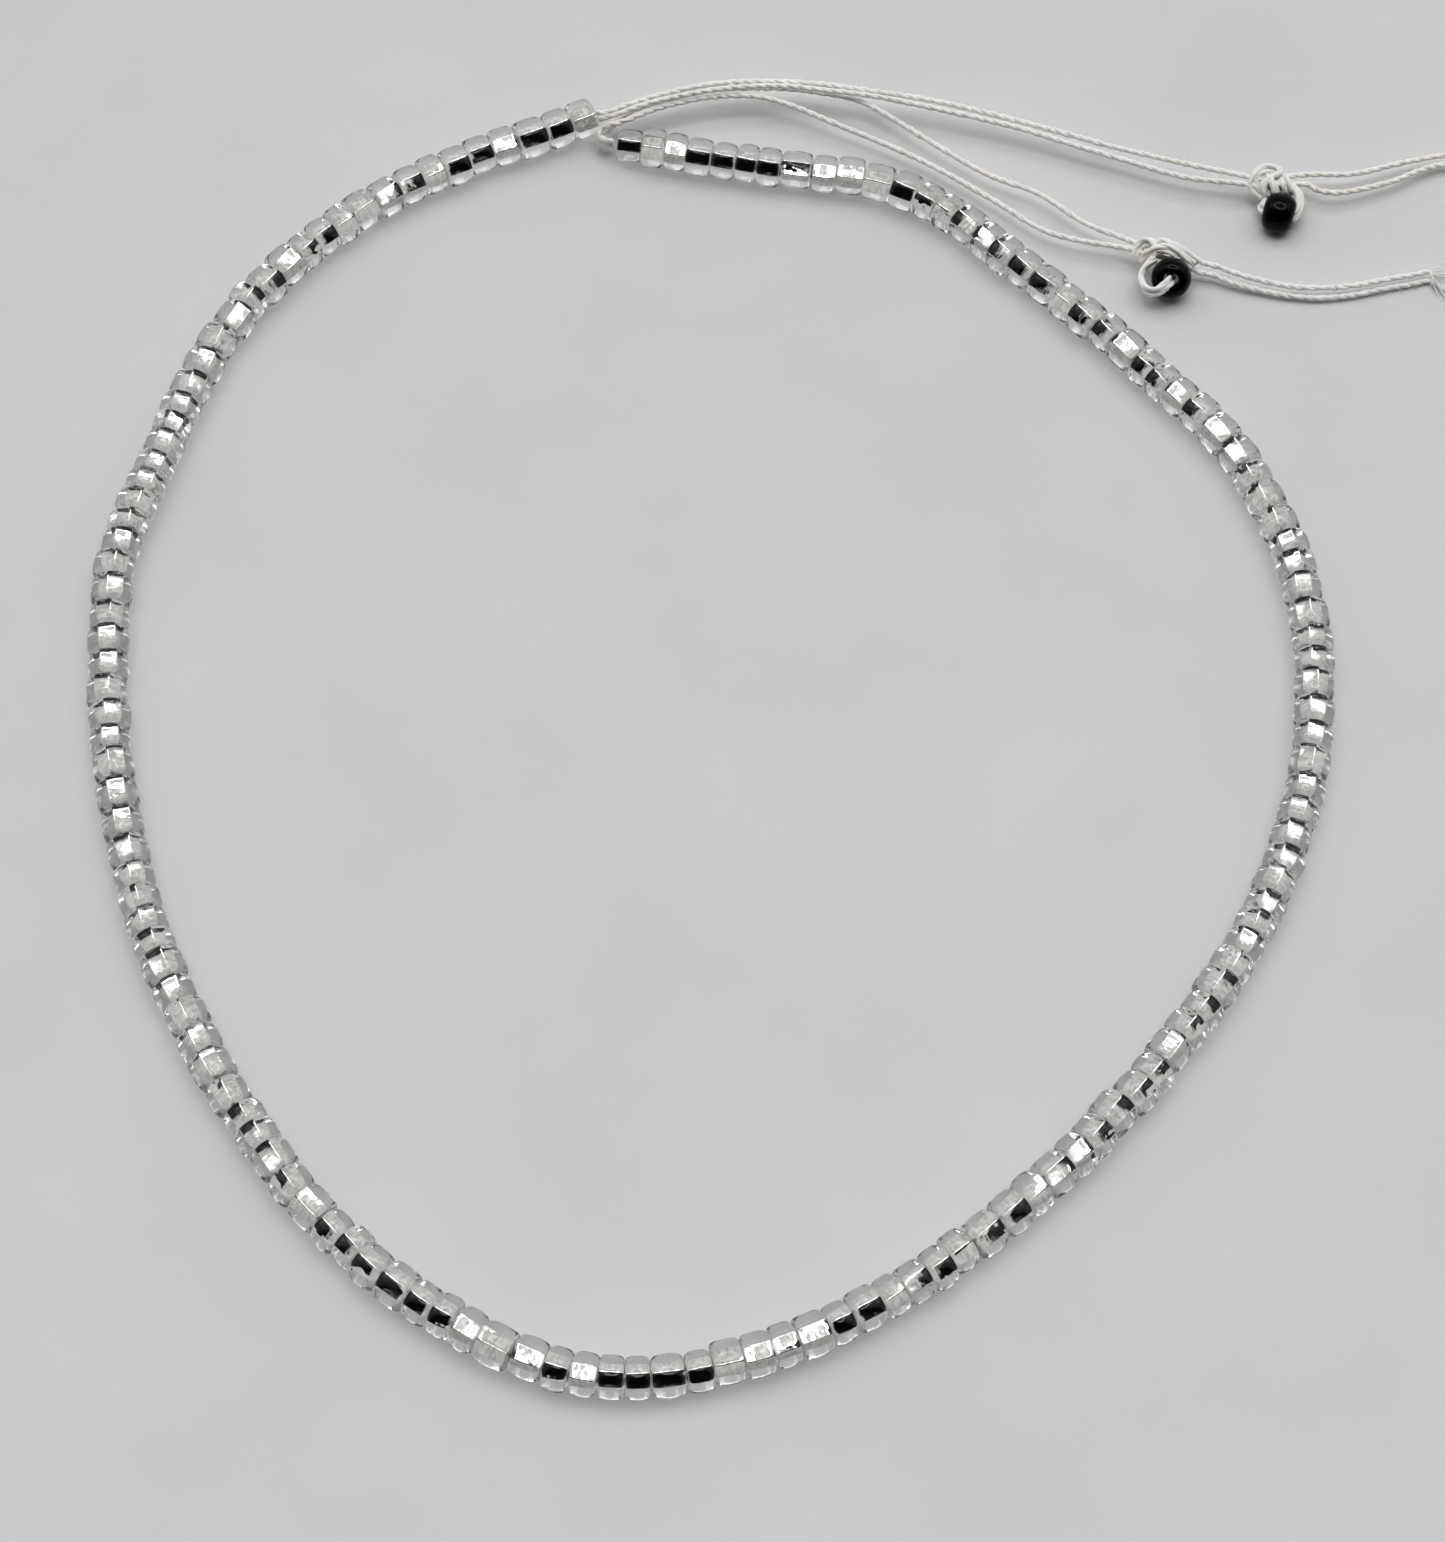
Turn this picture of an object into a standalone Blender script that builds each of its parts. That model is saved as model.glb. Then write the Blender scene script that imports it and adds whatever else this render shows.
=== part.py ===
# Beaded anklet: one string of clear seed beads on a doubled white cotton thread, laid as an open
# loop on a table. At the gap both thread ends run out as ties, and each tie is knotted round a
# black stopper bead. Metres, +Z up. The origin is on the table under the middle of the loop.

import math
import random

import bpy
from mathutils import Matrix, Vector
from mathutils.geometry import interpolate_bezier

MM = 0.001

# Seed beads
BEAD_DIAMETER = 2.7 * MM
BEAD_LENGTH = 1.79 * MM         # mean length along the thread
BEAD_ROUNDING = 0.34 * MM       # how far the rounding reaches in from each end of a bead
GROOVE_DIAMETER = 1.95 * MM     # where two beads touch
LENGTH_SPREAD = 0.2             # a bead is up to this share longer or shorter than the mean
BEAD_SEED = 11                  # fixes the order of long and short beads
STRING_SIDES = 10               # flat sides round the string, one of them underneath

# Thread, knots and stopper beads
THREAD_DIAMETER = 0.4 * MM
LOOP_THICKNESS = 0.6 * MM       # the doubled thread that holds a stopper bead
KNOT_LENGTH = 3.6 * MM
KNOT_THICKNESS = 0.9 * MM       # of the core, inside the wraps
WRAP_THICKNESS = 0.42 * MM
WRAP_COUNT = 3
WRAP_LEAN = 24.0                # degrees that the wraps lean, to one side and the other
STOPPER_DIAMETER = 2.7 * MM
STOPPER_LENGTH = 2.1 * MM
STOPPER_ROUNDING = 0.5 * MM
STOPPER_BORE = 1.1 * MM

# Route of the bead string from one end at the gap round to the other, in mm, seen from above
STRING_ROUTE = [
    (-9.0, 46.4), (-17.9, 42.1), (-26.0, 36.3), (-32.1, 28.5), (-35.5, 19.2), (-38.0, 9.6),
    (-37.7, -0.4), (-35.9, -10.1), (-32.8, -19.5), (-28.1, -28.3), (-22.2, -36.2),
    (-14.5, -42.5), (-5.4, -46.1), (4.2, -44.4), (12.8, -39.7), (20.4, -33.2), (26.9, -25.8),
    (32.5, -17.5), (36.4, -8.4), (38.1, 1.4), (37.4, 11.3), (33.5, 20.4), (27.0, 27.9),
    (19.9, 34.8), (12.1, 40.9), (2.5, 42.6), (-7.3, 44.2),
]

# Routes of the free threads, in mm: from the gap to the knot, then from the knot to the cut end
THREAD_ROUTES = {
    "upper_tie_a": [
        (-8.8, 46.8, 1.3), (-8.2, 46.6, 1.6), (-7.5, 46.6, 1.95), (-6.8, 46.8, 2.2),
        (-5.5, 47.3, 2.3), (-4.0, 47.8, 2.4), (-1.4, 48.6, 2.4), (1.3, 49.0, 2.35),
        (3.9, 49.2, 2.2), (6.7, 49.1, 2.15), (9.3, 48.8, 2.05), (11.8, 48.5, 2.0),
        (15.2, 47.9, 1.9), (19.8, 46.7, 1.8), (23.5, 45.6, 1.75), (26.5, 44.7, 1.7),
        (30.7, 43.6, 1.7), (34.6, 42.7, 1.7),
    ],
    "upper_tie_b": [
        (-8.6, 46.25, 1.3), (-8.1, 46.0, 1.85), (-7.4, 45.9, 2.3), (-6.6, 46.15, 2.5),
        (-5.4, 46.6, 2.65), (-3.9, 47.1, 2.7), (-1.3, 47.8, 2.75), (1.4, 48.3, 2.7),
        (4.1, 48.5, 2.6), (6.8, 48.3, 2.5), (9.4, 48.1, 2.4), (11.8, 47.8, 2.2),
        (15.2, 47.2, 1.95), (19.8, 46.1, 1.8), (23.4, 44.9, 1.7), (27.3, 43.6, 1.65),
        (31.0, 42.4, 1.65), (34.6, 42.0, 1.65),
    ],
    "lower_tie_a": [
        (-7.6, 44.25, 1.0), (-8.2, 44.25, 0.95), (-8.6, 44.6, 0.9), (-8.5, 45.05, 0.9),
        (-8.05, 45.5, 0.95), (-7.5, 45.95, 1.25), (-6.65, 46.5, 1.75), (-5.4, 47.05, 1.95),
        (-3.9, 47.6, 2.0), (-1.3, 48.4, 2.05), (1.4, 48.75, 2.0), (4.1, 48.85, 1.9),
        (6.8, 48.6, 1.8), (9.2, 48.0, 1.75), (11.0, 46.9, 1.7), (13.8, 44.9, 1.6),
        (17.5, 42.4, 1.5), (20.7, 41.0, 1.5), (22.2, 40.0, 1.5), (24.2, 38.4, 1.5),
        (26.8, 37.2, 1.5),
    ],
    "lower_tie_b": [
        (-7.6, 44.25, 1.5), (-8.15, 44.25, 1.55), (-8.55, 44.6, 1.6), (-8.5, 45.05, 1.7),
        (-7.95, 45.35, 1.8), (-7.2, 45.5, 1.95), (-6.45, 45.75, 2.1), (-5.3, 46.25, 2.25),
        (-3.8, 46.85, 2.3), (-1.2, 47.6, 2.3), (1.7, 47.9, 2.2), (4.2, 47.4, 2.0),
        (7.5, 46.1, 1.65), (11.8, 44.2, 1.4), (15.1, 42.3, 1.35), (18.4, 40.0, 1.35),
        (21.2, 37.9, 1.4), (23.6, 37.0, 1.45), (26.8, 36.4, 1.5),
    ],
    "upper_tail_a": [
        (39.2, 42.9, 1.65), (40.2, 43.0, 1.6), (41.5, 43.1, 1.5), (43.0, 43.4, 1.4),
        (44.6, 44.0, 1.3), (45.9, 44.5, 1.2), (47.4, 45.0, 1.1), (48.8, 45.4, 1.0),
        (50.3, 45.7, 0.9),
    ],
    "upper_tail_b": [
        (39.2, 42.2, 1.5), (40.0, 41.8, 1.4), (41.0, 41.7, 1.3), (42.1, 41.9, 1.2),
        (43.9, 42.5, 1.1), (45.5, 43.2, 1.0), (46.5, 43.8, 0.95), (47.8, 44.5, 0.8),
        (49.0, 44.9, 0.7), (50.3, 45.1, 0.6),
    ],
    "lower_tail_a": [
        (31.9, 35.5, 1.35), (33.0, 35.3, 1.2), (34.1, 34.9, 1.1), (35.5, 34.5, 1.0),
        (37.7, 34.05, 0.9), (39.9, 34.0, 0.85), (42.1, 34.3, 0.8), (44.4, 34.9, 0.8),
        (45.9, 35.3, 0.75), (47.2, 35.7, 0.7),
    ],
    "lower_tail_b": [
        (31.8, 34.9, 1.05), (32.9, 34.8, 0.85), (33.9, 34.4, 0.7), (35.5, 34.0, 0.55),
        (37.7, 33.6, 0.45), (39.9, 33.5, 0.4), (42.1, 33.85, 0.35), (44.4, 34.5, 0.35),
        (45.9, 34.9, 0.3), (47.3, 35.3, 0.3),
    ],
}

# Knots: middle in mm, heading from above and fall along the thread, both in degrees
KNOTS = {
    "upper_knot": {"middle": (36.9, 42.4, 1.7), "heading": 2.0, "fall": 1.0},
    "lower_knot": {"middle": (29.3, 36.25, 1.7), "heading": -17.0, "fall": 3.0},
}

# Stopper beads: place on the table in mm, and the bore's heading and rise in degrees. A loop's
# points are in mm from the bead's middle: along the bore, towards the knot, and to the side.
STOPPERS = {
    "upper_stopper_bead": {
        "place": (37.3, 39.8), "heading": -16.0, "rise": 0.0, "knot": "upper_knot",
        "loop": "upper_bead_loop",
        "loop_route": [
            (-1.5, 1.25, 0), (-1.75, 0.85, 0), (-1.7, 0.35, 0), (-1.3, 0.03, 0), (-0.7, 0, 0),
            (0, 0, 0), (0.7, 0, 0), (1.3, 0.03, 0), (1.72, 0.4, 0), (1.85, 1.0, 0.1),
            (1.7, 1.6, 0.15), (1.4, 1.95, 0.15),
        ],
    },
    "lower_stopper_bead": {
        "place": (29.9, 34.0), "heading": -100.0, "rise": 40.0, "knot": "lower_knot",
        "loop": "lower_bead_loop",
        "loop_route": [
            (-1.6, 0.7, 0), (-1.5, 0.3, 0), (-1.1, 0.03, 0), (-0.6, 0, 0), (0, 0, 0),
            (0.6, 0, 0), (1.1, 0, 0.06), (1.5, 0.03, 0.4), (1.5, 0.1, 1.0), (1.1, 0.3, 1.6),
            (0.5, 0.6, 1.95), (-0.2, 1.0, 1.9), (-0.75, 1.35, 1.55),
        ],
    },
}


def clear_scene():
    for obj in list(bpy.data.objects):
        bpy.data.objects.remove(obj, do_unlink=True)


def new_collection(name):
    collection = bpy.data.collections.new(name)
    bpy.context.scene.collection.children.link(collection)
    return collection


def plain_material(name, colour, roughness, metallic=0.0):
    material = bpy.data.materials.new(name)
    material.use_nodes = True
    shader = material.node_tree.nodes["Principled BSDF"]
    shader.inputs["Base Color"].default_value = (*colour, 1.0)
    shader.inputs["Roughness"].default_value = roughness
    shader.inputs["Metallic"].default_value = metallic
    return material


def silver_lined_glass(name):
    return plain_material(name, (0.76, 0.77, 0.76), 0.08, metallic=0.4)


def black_glass(name):
    return plain_material(name, (0.008, 0.008, 0.009), 0.06)


def white_cotton(name):
    return plain_material(name, (0.83, 0.82, 0.79), 0.9)


def smooth_line(chosen, steps=12):
    """A close row of points on one smooth curve through the chosen ones."""
    row = [2 * chosen[0] - chosen[1], *chosen, 2 * chosen[-1] - chosen[-2]]
    line = [chosen[0]]
    for before, start, end, after in zip(row, row[1:], row[2:], row[3:]):
        leave = start + (end - before) / 6
        arrive = end - (after - start) / 6
        line += interpolate_bezier(start, leave, arrive, end, steps + 1)[1:]
    return line


def distances(line):
    """How far along the line each of its points lies."""
    run = [0.0]
    for start, end in zip(line, line[1:]):
        run.append(run[-1] + (end - start).length)
    return run


def points_at(line, stops):
    """The line's points at rising distances along it."""
    run = distances(line)
    found = []
    i = 1
    for stop in stops:
        while i < len(line) - 1 and run[i] < stop:
            i += 1
        share = (stop - run[i - 1]) / (run[i] - run[i - 1])
        found.append(line[i - 1].lerp(line[i], min(share, 1.0)))
    return found


def even_stops(total, spacing):
    count = max(2, round(total / spacing))
    return [total * i / count for i in range(count + 1)]


def tube(name, points, diameter, sides, material, collection, widths=None):
    """A round tube with closed ends and a flat side underneath, if it has 10 sides. widths
    holds a share of the diameter for each point."""
    curve = bpy.data.curves.new(name, "CURVE")
    curve.dimensions = "3D"
    curve.twist_mode = "Z_UP"
    curve.bevel_depth = diameter / 2
    curve.bevel_resolution = (sides - 4) // 2
    curve.use_fill_caps = True
    spline = curve.splines.new("POLY")
    spline.points.add(len(points) - 1)
    for i, point in enumerate(points):
        spline.points[i].co = (*point, 1.0)
        spline.points[i].radius = widths[i] if widths else 1.0
    curve.materials.append(material)
    obj = bpy.data.objects.new(name, curve)
    collection.objects.link(obj)
    return obj


def bead_lengths(total):
    """Lengths of single beads, uneven as pressed seed beads are, that fill the string."""
    chance = random.Random(BEAD_SEED)
    count = round(total / BEAD_LENGTH)
    uneven = [1 + LENGTH_SPREAD * chance.uniform(-1, 1) for _ in range(count)]
    return [total * share / sum(uneven) for share in uneven]


def bead_string(collection):
    """All the beads, fused into one solid: each has a flat belly and rounded ends."""
    height = BEAD_DIAMETER / 2 * math.cos(math.pi / STRING_SIDES)
    line = smooth_line([Vector((x * MM, y * MM, height)) for x, y in STRING_ROUTE])
    total = distances(line)[-1]
    groove = GROOVE_DIAMETER / BEAD_DIAMETER
    stops, widths, start = [], [], 0.0
    for length in bead_lengths(total):
        stops += [start, start + BEAD_ROUNDING, start + length - BEAD_ROUNDING]
        widths += [groove, 1.0, 1.0]
        start += length
    stops.append(total)
    widths.append(groove)
    return tube("bead_string", points_at(line, stops), BEAD_DIAMETER, STRING_SIDES,
                silver_lined_glass("silver_lined_glass"), collection, widths)


def threads(collection):
    """The ties' four threads and their tails past the knots."""
    for name, route in THREAD_ROUTES.items():
        line = smooth_line([Vector(point) * MM for point in route])
        stops = even_stops(distances(line)[-1], 2.6 * THREAD_DIAMETER)
        tube(name, points_at(line, stops), THREAD_DIAMETER, 8,
             white_cotton(name + "_cotton"), collection)


def knot(name, place, collection, cutters):
    """A core along the thread with wraps round it that lean to one side and the other."""
    bpy.ops.mesh.primitive_uv_sphere_add(segments=12, ring_count=8, radius=0.5)
    core = bpy.context.object
    core.name = name
    core.data.name = name
    stretch = Matrix.Diagonal((KNOT_LENGTH, KNOT_THICKNESS, KNOT_THICKNESS, 1))
    core.data.transform(stretch @ Matrix.Rotation(math.pi / 2, 4, "Y"))
    core.location = Vector(place["middle"]) * MM
    core.rotation_euler = (0, math.radians(place["fall"]), math.radians(place["heading"]))
    core.data.materials.append(white_cotton(name + "_cotton"))
    move_to(core, collection)
    wrap_spacing = KNOT_LENGTH / (WRAP_COUNT + 1.5)
    for i in range(WRAP_COUNT):
        lean = math.radians(WRAP_LEAN) * (1 if i % 2 else -1)
        along = (i - (WRAP_COUNT - 1) / 2) * wrap_spacing
        bpy.ops.mesh.primitive_torus_add(
            major_segments=14, minor_segments=8, major_radius=KNOT_THICKNESS / 2,
            minor_radius=WRAP_THICKNESS / 2, location=(along, 0, 0),
            rotation=(0, math.pi / 2 + lean, 0))
        wrap = bpy.context.object
        wrap.name = f"{name}_wrap_{i}"
        wrap.parent = core
        wrap.hide_render = True
        wrap.display_type = "WIRE"
        move_to(wrap, cutters)
        union = core.modifiers.new(f"wrap {i}", "BOOLEAN")
        union.operation = "UNION"
        union.object = wrap


def move_to(obj, collection):
    for old in list(obj.users_collection):
        old.objects.unlink(obj)
    collection.objects.link(obj)


def rest_height(rise):
    """How high a stopper bead's middle is when it lies on the table with its bore at a rise."""
    flat_radius = STOPPER_DIAMETER / 2 - STOPPER_ROUNDING
    flat_half = STOPPER_LENGTH / 2 - STOPPER_ROUNDING
    return flat_radius * math.cos(rise) + flat_half * math.sin(rise) + STOPPER_ROUNDING


def bore_axis(heading, rise):
    level = math.cos(rise)
    return Vector((level * math.cos(heading), level * math.sin(heading), math.sin(rise)))


def stopper_profile():
    """Half of the bead's section, from the bore's rim over the outside and back, x and z."""
    half = STOPPER_LENGTH / 2
    bore = STOPPER_BORE / 2
    outer = STOPPER_DIAMETER / 2
    row = [(bore, half)]
    for side in (1, -1):
        for step in range(4):
            angle = math.radians(30 * step if side < 0 else 90 - 30 * step)
            x = outer - STOPPER_ROUNDING * (1 - math.cos(angle))
            z = half - STOPPER_ROUNDING * (1 - math.sin(angle))
            row.append((x, side * z))
    row.append((bore, -half))
    return row


def stopper_bead(name, place, axis, collection):
    row = stopper_profile()
    mesh = bpy.data.meshes.new(name)
    edges = [(i, (i + 1) % len(row)) for i in range(len(row))]
    mesh.from_pydata([(x, 0, z) for x, z in row], edges, [])
    mesh.materials.append(black_glass(name + "_glass"))
    bead = bpy.data.objects.new(name, mesh)
    bead.location = place
    bead.rotation_euler = axis.to_track_quat("Z", "Y").to_euler()
    screw = bead.modifiers.new("turned", "SCREW")
    screw.steps = 16
    screw.render_steps = 16
    screw.use_merge_vertices = True
    screw.merge_threshold = 0.00001
    screw.use_smooth_shade = True
    collection.objects.link(bead)
    return bead


def stopper_with_loop(name, stopper, collection):
    """A stopper bead and the doubled thread that runs from its knot, through it and back."""
    heading, rise = math.radians(stopper["heading"]), math.radians(stopper["rise"])
    axis = bore_axis(heading, rise)
    x, y = stopper["place"]
    middle = Vector((x * MM, y * MM, rest_height(rise)))
    stopper_bead(name, middle, axis, collection)
    to_knot = Vector(KNOTS[stopper["knot"]]["middle"]) * MM - middle
    to_knot = (to_knot - to_knot.dot(axis) * axis).normalized()
    side = axis.cross(to_knot)
    chosen = [middle + (a * axis + k * to_knot + s * side) * MM
              for a, k, s in stopper["loop_route"]]
    line = smooth_line(chosen)
    stops = even_stops(distances(line)[-1], 0.5 * LOOP_THICKNESS)
    tube(stopper["loop"], points_at(line, stops), LOOP_THICKNESS, 8,
         white_cotton(stopper["loop"] + "_cotton"), collection)


def build():
    clear_scene()
    collection = new_collection("beaded_anklet")
    cutters = new_collection("beaded_anklet_cutters")
    bead_string(collection)
    threads(collection)
    for name, place in KNOTS.items():
        knot(name, place, collection, cutters)
    for name, stopper in STOPPERS.items():
        stopper_with_loop(name, stopper, collection)


build()
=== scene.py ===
import math
import random

import bmesh
import bpy
from mathutils import Matrix, Vector, noise
from mathutils.geometry import interpolate_bezier


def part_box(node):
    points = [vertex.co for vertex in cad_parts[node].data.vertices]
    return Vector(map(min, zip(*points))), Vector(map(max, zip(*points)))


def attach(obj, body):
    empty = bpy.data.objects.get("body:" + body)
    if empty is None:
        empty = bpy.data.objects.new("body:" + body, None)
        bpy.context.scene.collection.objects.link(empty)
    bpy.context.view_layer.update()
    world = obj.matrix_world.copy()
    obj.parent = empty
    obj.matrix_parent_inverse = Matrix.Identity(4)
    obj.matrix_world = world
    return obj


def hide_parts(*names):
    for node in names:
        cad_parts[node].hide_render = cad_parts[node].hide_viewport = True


# Beaded anklet: clear silver-lined seed beads on a doubled white cotton thread, laid as an open
# loop on a pale surface. At the gap the thread ends run out as two ties, each knotted round a
# black stopper bead.

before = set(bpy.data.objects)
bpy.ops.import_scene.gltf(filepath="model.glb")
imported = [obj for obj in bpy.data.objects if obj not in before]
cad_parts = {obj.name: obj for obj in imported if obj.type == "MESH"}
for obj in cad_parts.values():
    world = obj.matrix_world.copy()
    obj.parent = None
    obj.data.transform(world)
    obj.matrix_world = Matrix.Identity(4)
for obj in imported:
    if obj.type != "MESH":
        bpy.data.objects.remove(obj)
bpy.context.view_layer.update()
mm = 0.001
print("frame loaded:", len(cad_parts), "solids")


# Lines and points

def smoothLine(chosen, steps=12):
    # a close row of points on one smooth curve through the chosen ones
    row = [2 * chosen[0] - chosen[1], *chosen, 2 * chosen[-1] - chosen[-2]]
    line = [chosen[0]]
    for before, start, end, after in zip(row, row[1:], row[2:], row[3:]):
        leave = start + (end - before) / 6
        arrive = end - (after - start) / 6
        line += interpolate_bezier(start, leave, arrive, end, steps + 1)[1:]
    return line


def distancesAlong(line):
    run = [0.0]
    for start, end in zip(line, line[1:]):
        run.append(run[-1] + (end - start).length)
    return run


def pointsAt(line, stops):
    run = distancesAlong(line)
    found = []
    i = 1
    for stop in stops:
        while i < len(line) - 1 and run[i] < stop:
            i += 1
        share = (stop - run[i - 1]) / (run[i] - run[i - 1])
        found.append(line[i - 1].lerp(line[i], min(share, 1.0)))
    return found


def evenLine(line, spacing):
    total = distancesAlong(line)[-1]
    count = max(2, round(total / spacing))
    return pointsAt(line, [total * i / count for i in range(count + 1)])


def directionAt(line, i):
    return (line[min(i + 1, len(line) - 1)] - line[max(i - 1, 0)]).normalized()


def inMetres(points):
    return [Vector(point) * mm for point in points]


# Nodes and colours

def linearColour(hexText):
    # an sRGB hex value, such as "c8c8c6", as linear colour
    parts = [int(hexText[i:i + 2], 16) / 255 for i in (0, 2, 4)]
    bent = [p / 12.92 if p <= 0.04045 else ((p + 0.055) / 1.055) ** 2.4 for p in parts]
    return (*bent, 1.0)


def addNode(tree, kind, settings, inputs):
    # inputs hold a value, or a node and the name of its output, for each socket's name or number
    node = tree.nodes.new(kind)
    for name, value in settings.items():
        setattr(node, name, value)
    for name, value in inputs.items():
        if isinstance(value, tuple) and isinstance(value[0], bpy.types.Node):
            tree.links.new(value[0].outputs[value[1]], node.inputs[name])
        else:
            node.inputs[name].default_value = value
    return node


def setRamp(node, stops):
    # stops are pairs of a place from 0 to 1 and a linear colour
    ramp = node.color_ramp
    while len(ramp.elements) < len(stops):
        ramp.elements.new(0.5)
    for element, (place, colour) in zip(ramp.elements, stops):
        element.position = place
        element.color = colour


def newMaterial(name, values):
    material = bpy.data.materials.new(name)
    material.use_nodes = True
    shader = material.node_tree.nodes["Principled BSDF"]
    for socket, value in values.items():
        shader.inputs[socket].default_value = value
    return material, material.node_tree, shader


# Camera

camera = {
    "target": (0.97, -4.33, 0.0),   # mm, on the table
    "elevation": 59.0,              # degrees above the table
    "distance": 291.0,              # mm
    "roll": 1.6,                    # degrees
    "lens": 108.6,                  # mm on a 36 mm frame
}


def towardsCamera():
    rise = math.radians(camera["elevation"])
    return Vector((0.0, -math.cos(rise), math.sin(rise)))


def makeCamera():
    data = bpy.data.cameras.new("photoCamera")
    data.lens = camera["lens"]
    data.sensor_width = 36.0
    data.clip_start = 0.01
    data.clip_end = 20.0
    obj = bpy.data.objects.new("photoCamera", data)
    bpy.context.scene.collection.objects.link(obj)
    away = towardsCamera()
    place = (Vector(camera["target"]) + away * camera["distance"]) * mm
    turn = (-away).to_track_quat("-Z", "Y").to_matrix().to_4x4()
    obj.matrix_world = (Matrix.Translation(place) @ turn
                        @ Matrix.Rotation(math.radians(camera["roll"]), 4, "Z"))
    bpy.context.scene.camera = obj


# White cotton thread: two plies, twisted and bleached, so it is matt and slightly fuzzy

thread = {
    "diameter": 0.4,        # mm
    "plyRadius": 0.15,      # mm
    "plyOffset": 0.062,     # mm from the thread's middle to a ply's
    "pitch": 1.5,           # mm along the thread for one turn of the plies
    "slack": 0.35,          # how unevenly the plies are twisted, as a share
    "spacing": 0.15,        # mm between rings of the mesh
}

# Routes in mm: from the gap to the knot, then from the knot to the cut end
tieRoutes = {
    "upperThreadA": [
        (-8.8, 46.8, 1.3), (-8.2, 46.6, 1.6), (-7.5, 46.6, 1.95), (-6.8, 46.8, 2.2),
        (-5.5, 47.3, 2.3), (-4.0, 47.8, 2.4), (-1.4, 48.6, 2.4), (1.3, 49.0, 2.35),
        (3.9, 49.2, 2.2), (6.7, 49.1, 2.15), (9.3, 48.8, 2.05), (11.8, 48.5, 2.0),
        (15.2, 47.9, 1.9), (19.8, 46.7, 1.8), (23.5, 45.6, 1.75), (26.5, 44.7, 1.7),
        (30.7, 43.6, 1.7), (34.6, 42.7, 1.7),
    ],
    "upperThreadB": [
        (-8.6, 46.25, 1.3), (-8.1, 46.0, 1.85), (-7.4, 45.9, 2.3), (-6.6, 46.15, 2.5),
        (-5.4, 46.6, 2.65), (-3.9, 47.1, 2.7), (-1.3, 47.8, 2.75), (1.4, 48.3, 2.7),
        (4.1, 48.5, 2.6), (6.8, 48.3, 2.5), (9.4, 48.1, 2.4), (11.8, 47.8, 2.2),
        (15.2, 47.2, 1.95), (19.8, 46.1, 1.8), (23.4, 44.9, 1.7), (27.3, 43.6, 1.65),
        (31.0, 42.4, 1.65), (34.6, 42.0, 1.65),
    ],
    "lowerThreadA": [
        (-7.6, 44.25, 1.0), (-8.2, 44.25, 0.95), (-8.6, 44.6, 0.9), (-8.5, 45.05, 0.9),
        (-8.05, 45.5, 0.95), (-7.5, 45.95, 1.25), (-6.65, 46.5, 1.75), (-5.4, 47.05, 1.95),
        (-3.9, 47.6, 2.0), (-1.3, 48.4, 2.05), (1.4, 48.75, 2.0), (4.1, 48.85, 1.9),
        (6.8, 48.6, 1.8), (9.2, 48.0, 1.75), (11.0, 46.9, 1.7), (13.8, 44.9, 1.6),
        (17.5, 42.4, 1.5), (20.7, 41.0, 1.5), (22.2, 40.0, 1.5), (24.2, 38.4, 1.5),
        (26.8, 37.2, 1.5),
    ],
    "lowerThreadB": [
        (-7.6, 44.25, 1.5), (-8.15, 44.25, 1.55), (-8.55, 44.6, 1.6), (-8.5, 45.05, 1.7),
        (-7.95, 45.35, 1.8), (-7.2, 45.5, 1.95), (-6.45, 45.75, 2.1), (-5.3, 46.25, 2.25),
        (-3.8, 46.85, 2.3), (-1.2, 47.6, 2.3), (1.7, 47.9, 2.2), (4.2, 47.4, 2.0),
        (7.5, 46.1, 1.65), (11.8, 44.2, 1.4), (15.1, 42.3, 1.35), (18.4, 40.0, 1.35),
        (21.2, 37.9, 1.4), (23.6, 37.0, 1.45), (26.8, 36.4, 1.5),
    ],
}
tailRoutes = {
    "upperThreadA": [
        (39.2, 42.9, 1.65), (40.2, 43.0, 1.6), (41.5, 43.1, 1.5), (43.0, 43.4, 1.4),
        (44.6, 44.0, 1.3), (45.9, 44.5, 1.2), (47.4, 45.0, 1.1), (48.8, 45.4, 1.0),
        (50.3, 45.7, 0.9),
    ],
    "upperThreadB": [
        (39.2, 42.2, 1.5), (40.0, 41.8, 1.4), (41.0, 41.7, 1.3), (42.1, 41.9, 1.2),
        (43.9, 42.5, 1.1), (45.5, 43.2, 1.0), (46.5, 43.8, 0.95), (47.8, 44.5, 0.8),
        (49.0, 44.9, 0.7), (50.3, 45.1, 0.6),
    ],
    "lowerThreadA": [
        (31.9, 35.5, 1.35), (33.0, 35.3, 1.2), (34.1, 34.9, 1.1), (35.5, 34.5, 1.0),
        (37.7, 34.05, 0.9), (39.9, 34.0, 0.85), (42.1, 34.3, 0.8), (44.4, 34.9, 0.8),
        (45.9, 35.3, 0.75), (47.2, 35.7, 0.7),
    ],
    "lowerThreadB": [
        (31.8, 34.9, 1.05), (32.9, 34.8, 0.85), (33.9, 34.4, 0.7), (35.5, 34.0, 0.55),
        (37.7, 33.6, 0.45), (39.9, 33.5, 0.4), (42.1, 33.85, 0.35), (44.4, 34.5, 0.35),
        (45.9, 34.9, 0.3), (47.3, 35.3, 0.3),
    ],
}
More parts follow.
